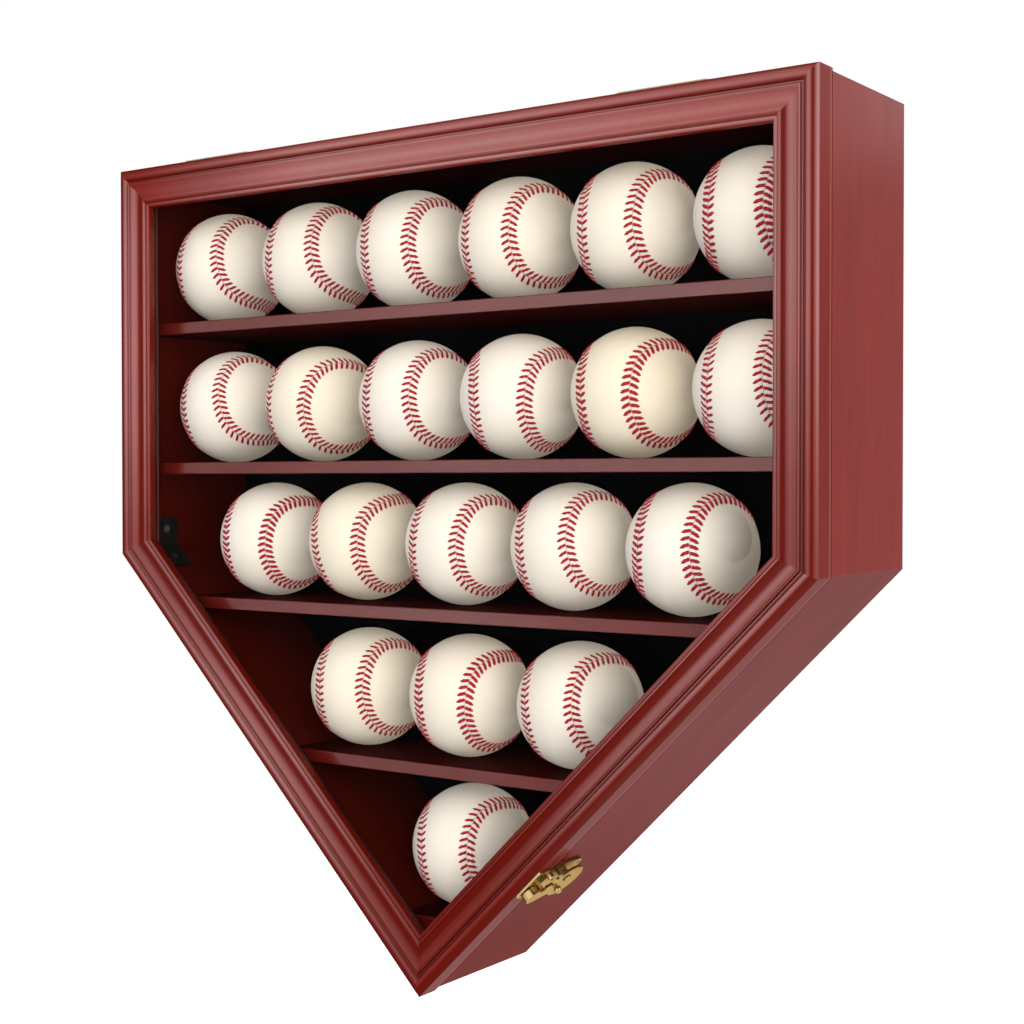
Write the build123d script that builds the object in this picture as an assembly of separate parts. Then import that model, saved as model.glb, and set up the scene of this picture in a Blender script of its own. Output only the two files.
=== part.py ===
"""Wall cabinet in the shape of a home plate, for showing baseballs on five shelves.

Frame: +X to the viewer's right, +Y into the wall, +Z up, millimetres. The origin lies on the wall
plane, midway between the round entries of the two keyhole hangers.
"""
import os
from math import atan2, cos, degrees, radians, sin, sqrt, tan

from build123d import *

# Baseballs, row by row from the top. The whole cabinet takes its size from them.
ball_diameter = 73.6
ball_counts = (6, 6, 5, 3, 1)
ball_gaps = (5.0, 4.2, 4.0, 5.5, 4.4)  # between neighbours
ball_row_shares = (0.027, 0.325, 0.437, 0.463, 0.551)  # of the row's spare room, left of it
first_row_spare = 7.4  # room beside the first row, both ends together
ball_headrooms = (13.2, 10.2, 5.7, 9.7, 8.7)  # under the board above
ball_seat = 0.2
ball_front_reach = 0.6  # the balls stand this far into the opening of the door
ball_rear_gap = 12.5

# Shelves
shelf_thickness = 7.5
shelf_setback = 0.2
shelf_arris = 0.6
dado_depth = 4.0
shoulder_row = 3
shoulder_shelf_drop = 26.5  # from the shoulders of the door down to the shoulder row's shelf

# Door frame and its moulding, measured inward from the outer edge and back from the front
door_depth = 18.4
door_face = 25.5
outer_bead = 7.5
outer_bead_crown = 5.0
outer_bead_drop = 2.9
quirk_width = 0.5
quirk_depth = 0.6
flat_fillet = 0.8
fillet_drop = 1.7
cove_rim = 0.6
cove_rim_drop = 0.35
cove_slope = 7.3  # from the rim in to the deepest line
cove_slope_drop = 2.7  # halfway along the slope
cove_drop = 3.5
cove_rise_drop = 3.25  # halfway up to the small bead
cove_end_drop = 2.8
inner_bead = 1.8
inner_bead_height = 1.2
lip_drop = 3.4
lip_width = 2.2
lip_round = 0.8
rear_arris = 0.6
rebate_width = 6.5
rebate_floor = 8.0
tip_nip = 2.2  # the sharp end of the lower left rail is missing by this much

# Clear pane and the black strips that hold it in the door's rebate
pane_thickness = 2.0
pane_play = 0.5
strip_width = 3.9
strip_depth = 2.4

# Case. Its depth follows from the balls and the back.
case_wall = 12.0
case_front_round = 0.8
case_rear_round = 1.8
door_overhang = 1.0  # the door stands this far outside the case all round
rabbet_width = 6.0
back_thickness = 5.0
back_play = 0.2
felt_thickness = 1.5
felt_play = 0.2

# Corner brackets at the two lower shoulders
bracket_leg = 19.0
bracket_width = 18.5
bracket_thickness = 2.0
bracket_setback = 0.4
bracket_screw_share = 0.58  # of the leg, from the bend out to the screw

# Butt hinges along the top
hinge_left_inset = 73.0  # from the door's left edge to the hinge's middle
hinge_right_inset = 97.5
hinge_length = 54.0
hinge_leaf_reach = 10.0
hinge_leaf_thickness = 1.1
hinge_leaf_gap = 0.3
hinge_mortise_play = 0.1
knuckle_count = 5
knuckle_radius = 2.3
knuckle_rise = 2.4  # hinge axis above the top of the door
knuckle_gap = 0.2
knuckle_clearance = 0.3
hinge_pin_radius = 1.1
hinge_pin_play = 0.05
hinge_bore_overrun = 1.0
hinge_pin_head = 1.9
hinge_pin_head_height = 1.0
hinge_screw_spacing = 20.0
hinge_screw_drop = 6.0

# Hook latch on the lower right side. Its frame runs along the side towards the tip, back towards
# the wall, and outward. Distances along the side start at the right shoulder.
latch_start = 234.5
latch_length = 24.0
plate_thickness = 1.3
door_plate_front = 3.4
plate_seam_gap = 0.7
case_plate_depth = 29.2
plate_corner = 2.0
plate_rear_corner = 5.0
hook_pivot_along = 7.0
hook_pivot_back = 13.2
latch_screw_inset = 3.4
stud_along = 3.0
stud_front = 4.8
stud_radius = 1.9
stud_height = 4.0
stud_chamfer = 0.5
hook_thin = 1.5
hook_top = 6.0
hook_underside = 1.7
hook_body_radius = 12.6
hook_body_along = 3.0
hook_body_back = 1.2
hook_reach = 23.8
hook_nose_radius = 5.4
hook_angle = 28.5
hook_slot_play = 0.3
hook_mouth_angle = 12.0
hook_slot_end_angle = 23.0
pivot_post_radius = 3.2
pivot_shank_radius = 1.5
pivot_head_radius = 2.7
pivot_head_height = 0.9
pivot_head_round = 0.63
pivot_play = 0.06
hook_axial_play = 0.1
knob_radius = 2.3
knob_neck_radius = 1.2
knob_neck_height = 1.0
knob_neck_bite = 0.23  # the round knob sits this deep on its neck
knob_distance = 9.5
knob_angle = 22.0

# Keyhole hangers on the back
hanger_drop = 45.0  # from the top of the door down to the keyhole entries
hanger_spacing = 300.0
hanger_width = 18.0
hanger_height = 46.0
hanger_thickness = 1.6
hanger_corner = 3.6
keyhole_entry_radius = 4.75
keyhole_slot_width = 4.4
keyhole_slot_rise = 10.0
keyhole_pocket_play = 2.0
keyhole_pocket_depth = 3.4
hanger_screw_reach = 17.5

# Countersunk screws: head radius, head height, shank radius, length
hinge_screw = (2.1, 1.0, 1.1, 9.0)
latch_screw = (1.8, 0.9, 1.0, 8.0)
bracket_screw = (2.6, 1.3, 1.4, 8.0)
hanger_screw = (2.6, 1.2, 1.3, 6.0)
screw_point = 1.5
recess_width = 0.5
recess_share = 0.6

# Brads that hold the back in its rabbet
brad_radius = 0.8
brad_length = 18.0
brad_head_radius = 1.5
brad_head_height = 0.6
top_brads = 4

# Sizes that follow: the width holds the first row, and the shoulders stand above their shelf
inner_inset = door_overhang + case_wall
first_row = ball_counts[0] * ball_diameter + (ball_counts[0] - 1) * ball_gaps[0]
cabinet_width = first_row + first_row_spare + 2 * inner_inset
bays = shoulder_row * (ball_diameter + ball_seat) + sum(ball_headrooms[:shoulder_row])
shelf_stack = (shoulder_row - 1) * shelf_thickness
shoulder_height = inner_inset + bays + shelf_stack - shoulder_shelf_drop
back_stack = felt_thickness + back_thickness + hanger_thickness
case_depth = ball_diameter - ball_front_reach + ball_rear_gap + back_stack

# Places that follow, from the wall forward and from the top down
top_z = hanger_drop
front_y = -(door_depth + case_depth)
seam_y = front_y + door_depth
wall_y = 0.0
back_rear_y = wall_y - hanger_thickness
back_front_y = back_rear_y - back_thickness
felt_front_y = back_front_y - felt_thickness
ball_radius = ball_diameter / 2
ball_y = seam_y - ball_front_reach + ball_radius
hinge_axis_z = top_z + knuckle_rise
hinge_centres = {
    "left": hinge_left_inset - cabinet_width / 2,
    "right": cabinet_width / 2 - hinge_right_inset,
}
SIDES = ("top", "right", "lower_right", "lower_left", "left")


def outline(inset):
    """The five corners (x, z) of the home plate, drawn in by inset, clockwise from the top left."""
    half = cabinet_width / 2 - inset
    shoulder = top_z - shoulder_height + inset * tan(radians(22.5))
    tip = top_z - shoulder_height - cabinet_width / 2 + inset * sqrt(2)
    high = top_z - inset
    return [(-half, high), (half, high), (half, shoulder), (0.0, tip), (-half, shoulder)]


def side_frame(inset, index):
    """Start, direction, inward normal and length of one side, all in the XZ plane."""
    corners = outline(inset)
    start = corners[index]
    end = corners[(index + 1) % 5]
    run = (end[0] - start[0], end[1] - start[1])
    length = sqrt(run[0] ** 2 + run[1] ** 2)
    along = (run[0] / length, run[1] / length)
    return start, along, (along[1], -along[0]), length


def plate(inset, y_front, y_rear):
    """A flat panel with the home plate outline."""
    face = make_face(Polyline(*outline(inset), close=True))
    plane = Plane(origin=(0, y_rear, 0), x_dir=(1, 0, 0), z_dir=(0, -1, 0))
    return extrude(plane * face, amount=y_rear - y_front)


def slab(z_low, z_high, y_front, y_rear):
    """A level board as wide as the cabinet, to be cut to the outline."""
    height = z_high - z_low
    board = Box(cabinet_width, y_rear - y_front, height, align=(Align.CENTER, Align.MIN, Align.MIN))
    return Pos(0, y_front, z_low) * board


def mitred_bar(section, inset, index, y_start):
    """A straight bar along one side with both ends mitred.

    The section is drawn with x inward from the side and y back from y_start.
    """
    start, along, inward, length = side_frame(inset, index)
    plane = Plane(
        origin=(start[0], y_start, start[1]),
        x_dir=(inward[0], 0, inward[1]),
        z_dir=(along[0], 0, along[1]),
    )
    bar = extrude(plane * section, amount=length)
    for neighbour, corner, sign in ((index - 1, index, 1), (index + 1, index + 1, -1)):
        other = side_frame(inset, neighbour % 5)[2]
        bisector = (inward[0] + other[0], inward[1] + other[1])
        normal = (-bisector[1], bisector[0])
        facing = normal[0] * along[0] + normal[1] * along[1]
        flip = sign if facing > 0 else -sign
        point = outline(inset)[corner % 5]
        cutter = Plane(origin=(point[0], 0, point[1]), z_dir=(normal[0] * flip, 0, normal[1] * flip))
        bar = split(bar, bisect_by=cutter, keep=Keep.TOP)
    return bar


def door_section():
    """The door moulding: bead, quirks, broad cove, small bead and lip, with a rear rebate."""
    quirk_floor = fillet_drop + quirk_depth
    fillet_start = outer_bead + quirk_width
    fillet_end = fillet_start + flat_fillet
    rim_start = fillet_end + quirk_width
    rim_end = rim_start + cove_rim
    cove_bottom = rim_end + cove_slope
    lip_start = door_face - lip_width
    small_quirk = lip_start - quirk_width
    bead_start = small_quirk - inner_bead
    small_quirk_floor = lip_drop + quirk_depth
    arc_middle = lip_round * (1 - sqrt(0.5))
    rebate_start = door_face - rebate_width
    edges = [
        Line((rear_arris, door_depth), (0, door_depth - rear_arris)),
        Line((0, door_depth - rear_arris), (0, outer_bead_drop)),
        TangentArc((outer_bead_crown, 0), (0, outer_bead_drop), tangent=(-1, 0)),
        TangentArc((outer_bead_crown, 0), (outer_bead, fillet_drop), tangent=(1, 0)),
        Line((outer_bead, fillet_drop), (outer_bead, quirk_floor)),
        Line((outer_bead, quirk_floor), (fillet_start, quirk_floor)),
        Line((fillet_start, quirk_floor), (fillet_start, fillet_drop)),
        Line((fillet_start, fillet_drop), (fillet_end, fillet_drop)),
        Line((fillet_end, fillet_drop), (fillet_end, quirk_floor)),
        Line((fillet_end, quirk_floor), (rim_start, quirk_floor)),
        Line((rim_start, quirk_floor), (rim_start, cove_rim_drop)),
        Line((rim_start, cove_rim_drop), (rim_end, cove_rim_drop)),
        ThreePointArc(
            (rim_end, cove_rim_drop),
            (rim_end + cove_slope / 2, cove_slope_drop),
            (cove_bottom, cove_drop),
        ),
        ThreePointArc(
            (cove_bottom, cove_drop),
            ((cove_bottom + bead_start) / 2, cove_rise_drop),
            (bead_start, cove_end_drop),
        ),
        ThreePointArc(
            (bead_start, cove_end_drop),
            (bead_start + inner_bead / 2, lip_drop - inner_bead_height),
            (small_quirk, lip_drop),
        ),
        Line((small_quirk, lip_drop), (small_quirk, small_quirk_floor)),
        Line((small_quirk, small_quirk_floor), (lip_start, small_quirk_floor)),
        Line((lip_start, small_quirk_floor), (lip_start, lip_drop)),
        Line((lip_start, lip_drop), (door_face - lip_round, lip_drop)),
        ThreePointArc(
            (door_face - lip_round, lip_drop),
            (door_face - arc_middle, lip_drop + arc_middle),
            (door_face, lip_drop + lip_round),
        ),
        Line((door_face, lip_drop + lip_round), (door_face, rebate_floor)),
        Line((door_face, rebate_floor), (rebate_start, rebate_floor)),
        Line((rebate_start, rebate_floor), (rebate_start, door_depth)),
        Line((rebate_start, door_depth), (rear_arris, door_depth)),
    ]
    return make_face(edges)


def rectangle(x_low, x_high, y_low, y_high):
    """A rectangle between two corners."""
    box = Rectangle(x_high - x_low, y_high - y_low, align=(Align.MIN, Align.MIN))
    return Pos(x_low, y_low) * box


def case_section():
    """A case board with the rabbet for the back along its inner rear edge."""
    board = rectangle(0, case_wall, 0, case_depth)
    outer = board.vertices().sort_by(Axis.X)[:2].sort_by(Axis.Y)
    board = fillet(outer[-1], case_rear_round)
    board = fillet(board.vertices().sort_by(Axis.Y)[:2].sort_by(Axis.X)[0], case_front_round)
    rabbet_floor = case_depth - hanger_thickness - back_thickness
    return board - rectangle(case_wall - rabbet_width, case_wall, rabbet_floor, case_depth)


def screw_form(size):
    """The plain outside of a countersunk screw: head up at the origin, point down."""
    head_radius, head_height, shank_radius, length = size
    profile = Polyline(
        (0, 0),
        (head_radius, 0),
        (shank_radius, -head_height),
        (shank_radius, screw_point - length),
        (0, -length),
        close=True,
    )
    return revolve(Plane.XZ * make_face(profile), axis=Axis.Z)


def screw(size):
    """A countersunk screw with a cross recess in its head."""
    head_radius, head_height = size[0], size[1]
    reach = head_radius * recess_share * 2
    form = screw_form(size)
    for turn in (0, 90):
        slot = Box(reach, recess_width, head_height, align=(Align.CENTER, Align.CENTER, Align.MAX))
        form -= Rot(0, 0, turn) * slot
    return form


def placed(maker, size, places):
    """One solid from maker at each place."""
    return [place * maker(size) for place in places]


def cut(body, tools):
    """The body without the room that the tools take."""
    for tool in tools:
        body -= tool
    return body


def facing_place(x, y, z, direction):
    """A place at this point with its Z axis turned to the direction."""
    return Plane(origin=(x, y, z), z_dir=direction).location


def build_hinge(side):
    """Leaves, pin and screw places of one butt hinge."""
    centre = hinge_centres[side]
    pitch = hinge_length / knuckle_count
    start = centre - hinge_length / 2
    bottom_z = top_z - hinge_leaf_reach
    leaves = {}
    for owner, parity, facing in (("case", 0, 1), ("door", 1, -1)):
        near = hinge_leaf_gap / 2
        far = near + hinge_leaf_thickness
        y_low = seam_y + (near if facing > 0 else -far)
        leaf = Pos(centre, y_low, bottom_z) * Box(
            hinge_length,
            hinge_leaf_thickness,
            hinge_axis_z - bottom_z,
            align=(Align.CENTER, Align.MIN, Align.MIN),
        )
        for index in range(knuckle_count):
            middle = start + pitch * (index + 0.5)
            room = Cylinder(knuckle_radius + knuckle_clearance, pitch)
            if index % 2 != parity:
                leaf -= Pos(middle, seam_y, hinge_axis_z) * Rot(0, 90, 0) * room
        for index in range(knuckle_count):
            middle = start + pitch * (index + 0.5)
            if index % 2 == parity:
                knuckle = Cylinder(knuckle_radius, pitch - knuckle_gap)
                leaf += Pos(middle, seam_y, hinge_axis_z) * Rot(0, 90, 0) * knuckle
        bore = Cylinder(hinge_pin_radius + hinge_pin_play, hinge_length + 2 * hinge_bore_overrun)
        leaf -= Pos(centre, seam_y, hinge_axis_z) * Rot(0, 90, 0) * bore
        screw_z = top_z - hinge_screw_drop
        places = [
            facing_place(centre + shift, seam_y + near * facing, screw_z, (0, -facing, 0))
            for shift in (-hinge_screw_spacing, 0, hinge_screw_spacing)
        ]
        leaf = cut(leaf, placed(screw_form, hinge_screw, places))
        leaves[owner] = (leaf, places)
    pin = Cylinder(hinge_pin_radius, hinge_length)
    for end in (-1, 1):
        middle = (hinge_length + hinge_pin_head_height) / 2
        pin += Pos(0, 0, end * middle) * Cylinder(hinge_pin_head, hinge_pin_head_height)
    pin = Pos(centre, seam_y, hinge_axis_z) * Rot(0, 90, 0) * pin
    return leaves, pin


def hinge_mortise(side, facing):
    """The pocket that one leaf lies in. Facing is 1 in the case and -1 in the door."""
    depth = hinge_leaf_gap / 2 + hinge_leaf_thickness + hinge_mortise_play
    width = hinge_length + 2 * hinge_mortise_play
    height = hinge_leaf_reach + hinge_mortise_play
    y_align = Align.MIN if facing > 0 else Align.MAX
    pocket = Box(width, depth, height, align=(Align.CENTER, y_align, Align.MAX))
    return Pos(hinge_centres[side], seam_y, top_z) * pocket


def latch_place():
    """The latch's own frame: X along the side to the tip, Y into the wall, Z outward."""
    start, along, inward, _ = side_frame(0, SIDES.index("lower_right"))
    x = start[0] + along[0] * latch_start
    z = start[1] + along[1] * latch_start
    outward = (-inward[0], 0, -inward[1])
    return Plane(origin=(x, seam_y, z), x_dir=(along[0], 0, along[1]), z_dir=outward).location


def latch_door_plate():
    """Plate on the door that carries the stud."""
    front = door_plate_front - door_depth
    rear = -plate_seam_gap
    face = rectangle(0, latch_length, front, rear)
    blank = extrude(face, amount=plate_thickness)
    front_corners = blank.edges().filter_by(Axis.Z).sort_by(Axis.Y)[:2]
    return fillet(front_corners, plate_corner)


def latch_stud():
    """Round stud that stands on the door plate for the hook to catch."""
    stud = Cylinder(stud_radius, stud_height, align=(Align.CENTER, Align.CENTER, Align.MIN))
    stud = chamfer(stud.edges().sort_by(Axis.Z)[-1], stud_chamfer)
    return Pos(stud_along, -stud_front, plate_thickness) * stud


def latch_case_plate():
    """Plate on the case that carries the hook's pivot."""
    face = rectangle(0, latch_length, plate_seam_gap, plate_seam_gap + case_plate_depth)
    blank = extrude(face, amount=plate_thickness)
    rear_corners = blank.edges().filter_by(Axis.Z).sort_by(Axis.Y)[-2:]
    blank = fillet(rear_corners, plate_rear_corner)
    hole = Cylinder(pivot_shank_radius, plate_thickness, align=(Align.CENTER, Align.CENTER, Align.MIN))
    blank -= Pos(hook_pivot_along, hook_pivot_back) * hole
    return Pos(0, 0, -door_overhang) * blank


def polar(radius, angle):
    """A point in the latch's plane by its distance and angle from the pivot, 0 at the door side."""
    turn = radians(angle)
    return hook_pivot_along + radius * sin(turn), hook_pivot_back - radius * cos(turn)


def latch_hook():
    """The hook: a thin fan round the pivot and a thick nose that reaches over the door plate."""
    body_middle = (hook_pivot_along + hook_body_along, hook_pivot_back + hook_body_back)
    nose_middle = polar(hook_reach, hook_angle)
    stud_reach = sqrt((hook_pivot_along - stud_along) ** 2 + (hook_pivot_back + stud_front) ** 2)
    slot_inner = stud_reach - stud_radius - hook_slot_play
    slot_outer = stud_reach + stud_radius + hook_slot_play
    fan = Pos(*body_middle) * Circle(hook_body_radius)
    nose = Pos(*nose_middle) * Circle(hook_nose_radius)
    heading = degrees(atan2(nose_middle[1] - body_middle[1], nose_middle[0] - body_middle[0]))
    length = sqrt((nose_middle[0] - body_middle[0]) ** 2 + (nose_middle[1] - body_middle[1]) ** 2)
    neck = Rectangle(length, hook_nose_radius * 2, align=(Align.MIN, Align.CENTER))
    tongue = Pos(*body_middle) * Rot(0, 0, heading) * neck + nose
    # the slot follows the stud's path round the pivot and is open on the near side
    ring = Circle(slot_outer) - Circle(slot_inner)
    far = slot_outer * 2
    wedge_points = [
        (0, 0),
        (far * sin(radians(hook_slot_end_angle)), -far * cos(radians(hook_slot_end_angle))),
        (-far, -far),
        (-far, 0),
    ]
    wedge = make_face(Polyline(*wedge_points, close=True))
    pivot = Pos(hook_pivot_along, hook_pivot_back)
    slot = pivot * (ring & wedge)
    # nothing of the hook reaches past its mouth angle beyond the slot's inner edge
    mouth_points = [
        (0, 0),
        (far * sin(radians(hook_mouth_angle)), -far * cos(radians(hook_mouth_angle))),
        (-far, -far),
        (-far, 0),
    ]
    mouth = make_face(Polyline(*mouth_points, close=True)) - Circle(slot_inner)
    outside = (fan + tongue) - slot - pivot * mouth
    thin = Pos(0, 0, hook_top - hook_thin) * extrude(outside, amount=hook_thin)
    thick_face = outside - pivot * Circle(slot_inner)
    thick_face &= rectangle(-far, far * 2, -far, -plate_seam_gap * 2)
    thick = Pos(0, 0, hook_underside) * extrude(thick_face, amount=hook_top - hook_underside)
    hook = thin + thick
    bore = Cylinder(pivot_shank_radius + pivot_play, hook_top * 2)
    hook -= pivot * bore
    knob_hole = Cylinder(knob_neck_radius, hook_thin, align=(Align.CENTER, Align.CENTER, Align.MAX))
    hook -= Pos(*polar(knob_distance, knob_angle), hook_top) * knob_hole
    return hook


def latch_pivot_rivet():
    """Shouldered rivet: it holds the hook's fan up off the case plate and lets it turn."""
    plate_top = plate_thickness - door_overhang
    shoulder = hook_top - hook_thin - hook_axial_play
    head = hook_top + hook_axial_play
    low = (Align.CENTER, Align.CENTER, Align.MIN)
    rivet = Pos(0, 0, plate_top) * Cylinder(pivot_post_radius, shoulder - plate_top, align=low)
    shank_low = plate_top - plate_thickness
    rivet += Pos(0, 0, shank_low) * Cylinder(pivot_shank_radius, head - shank_low, align=low)
    cap = Cylinder(pivot_head_radius, pivot_head_height, align=low)
    cap = fillet(cap.edges().sort_by(Axis.Z)[-1], pivot_head_round)
    rivet += Pos(0, 0, head) * cap
    return Pos(hook_pivot_along, hook_pivot_back) * rivet


def latch_knob():
    """Small round knob, riveted through the hook, for a fingertip."""
    low = (Align.CENTER, Align.CENTER, Align.MIN)
    neck_length = hook_thin + knob_neck_height + knob_radius
    neck = Pos(0, 0, -hook_thin) * Cylinder(knob_neck_radius, neck_length, align=low)
    ball = Pos(0, 0, knob_neck_height + knob_radius - knob_neck_bite) * Sphere(knob_radius)
    return Pos(*polar(knob_distance, knob_angle), hook_top) * (neck + ball)


def corner_bracket(side):
    """Bent black strip inside one lower shoulder, and the places of its two screws."""
    mirror = 1 if side == "right" else -1
    half = cabinet_width / 2 - inner_inset
    corner_z = outline(inner_inset)[2][1]
    diagonal = (-sqrt(0.5), -sqrt(0.5))
    inner = bracket_thickness * tan(radians(22.5))
    upper = bracket_leg
    points = [
        (half, corner_z + upper),
        (half, corner_z),
        (half + diagonal[0] * upper, corner_z + diagonal[1] * upper),
        (
            half + diagonal[0] * upper - bracket_thickness * sqrt(0.5),
            corner_z + diagonal[1] * upper + bracket_thickness * sqrt(0.5),
        ),
        (half - bracket_thickness, corner_z + inner),
        (half - bracket_thickness, corner_z + upper),
    ]
    face = make_face(Polyline(*[(x * mirror, z) for x, z in points], close=True))
    y_front = seam_y + bracket_setback
    plane = Plane(origin=(0, y_front + bracket_width, 0), x_dir=(1, 0, 0), z_dir=(0, -1, 0))
    bracket = extrude(plane * face, amount=bracket_width)
    y_mid = y_front + bracket_width / 2
    reach = upper * bracket_screw_share
    places = [
        facing_place(mirror * (half - bracket_thickness), y_mid, corner_z + reach, (-mirror, 0, 0)),
        facing_place(
            mirror * (half + diagonal[0] * reach - bracket_thickness * sqrt(0.5)),
            y_mid,
            corner_z + diagonal[1] * reach + bracket_thickness * sqrt(0.5),
            (-mirror * sqrt(0.5), 0, sqrt(0.5)),
        ),
    ]
    return cut(bracket, placed(screw_form, bracket_screw, places)), places


def keyhole(radius_extra, depth):
    """A keyhole standing up from its round entry, as a cutter of this depth along +Y."""
    slot_width = keyhole_slot_width + 2 * radius_extra
    entry = Circle(keyhole_entry_radius + radius_extra)
    stem = Rectangle(slot_width, keyhole_slot_rise, align=(Align.CENTER, Align.MIN))
    top = Pos(0, keyhole_slot_rise) * Circle(slot_width / 2)
    plane = Plane(origin=(0, 0, 0), x_dir=(1, 0, 0), z_dir=(0, -1, 0))
    return Pos(0, depth, 0) * extrude(plane * (entry + stem + top), amount=depth)


def hanger_plate(x):
    """Keyhole hanger on the back, and the places of its two screws."""
    middle = keyhole_slot_rise / 2
    face = RectangleRounded(hanger_width, hanger_height, hanger_corner)
    plane = Plane(origin=(x, wall_y, middle), x_dir=(1, 0, 0), z_dir=(0, -1, 0))
    blank = extrude(plane * face, amount=hanger_thickness)
    blank -= Pos(x, wall_y - hanger_thickness, 0) * keyhole(0, hanger_thickness)
    places = [
        facing_place(x, wall_y, middle + shift, (0, 1, 0))
        for shift in (-hanger_screw_reach, hanger_screw_reach)
    ]
    return cut(blank, placed(screw_form, hanger_screw, places)), places


def brad_form(size):
    """A brad with a flat head, head up at the origin."""
    length, radius, head_radius, head_height = size
    high = (Align.CENTER, Align.CENTER, Align.MAX)
    return Cylinder(radius, length, align=high) + Cylinder(head_radius, head_height, align=high)


def shelf_heights():
    """The upper face of each row's shelf, from the top down."""
    heights = []
    ceiling = top_z - inner_inset
    for headroom in ball_headrooms:
        heights.append(ceiling - headroom - ball_diameter - ball_seat)
        ceiling = heights[-1] - shelf_thickness
    return heights


def half_width(z, inset):
    """Half the width between the sides at this height, drawn in by inset."""
    corners = outline(inset)
    return min(corners[1][0], z - corners[3][1])


def ball_row(row, upper):
    """The centres (x, z) of the balls on the shelf with this upper face."""
    z = upper + ball_seat + ball_radius
    corners = outline(inner_inset)
    wall_limit = corners[1][0] - ball_radius
    slope_limit = z - corners[3][1] - ball_radius * sqrt(2)
    limit = min(wall_limit, slope_limit)
    pitch = ball_diameter + ball_gaps[row]
    spare = 2 * limit - (ball_counts[row] - 1) * pitch
    start = -limit + spare * ball_row_shares[row]
    return [(start + column * pitch, z) for column in range(ball_counts[row])]


def brad_places():
    """Where the brads go: evenly along the top, and beside each row at the height of its balls."""
    inset = inner_inset - rabbet_width / 2
    (start, top), (end, _) = outline(inset)[:2]
    points = [(start + (end - start) * (step + 0.5) / top_brads, top) for step in range(top_brads)]
    for upper in shelf_heights():
        z = upper + ball_seat + ball_radius
        points += [(side * half_width(z, inset), z) for side in (-1, 1)]
    return [facing_place(x, back_rear_y, z, (0, 1, 0)) for x, z in points]


def shelf(upper):
    """One shelf, housed in the side boards and cut to the slope of the lower ones."""
    board = slab(upper - shelf_thickness, upper, seam_y + shelf_setback, felt_front_y)
    board &= plate(inner_inset - dado_depth, seam_y + shelf_setback, felt_front_y)
    front = board.edges().filter_by(Axis.X).group_by(Axis.Y)[0]
    return fillet(front, shelf_arris)


def shelf_room(upper):
    """The housing that a shelf leaves in the side boards, open at the front."""
    board = slab(upper - shelf_thickness, upper, seam_y + shelf_setback, felt_front_y)
    return board & plate(inner_inset - dado_depth, seam_y + shelf_setback, felt_front_y)


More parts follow.
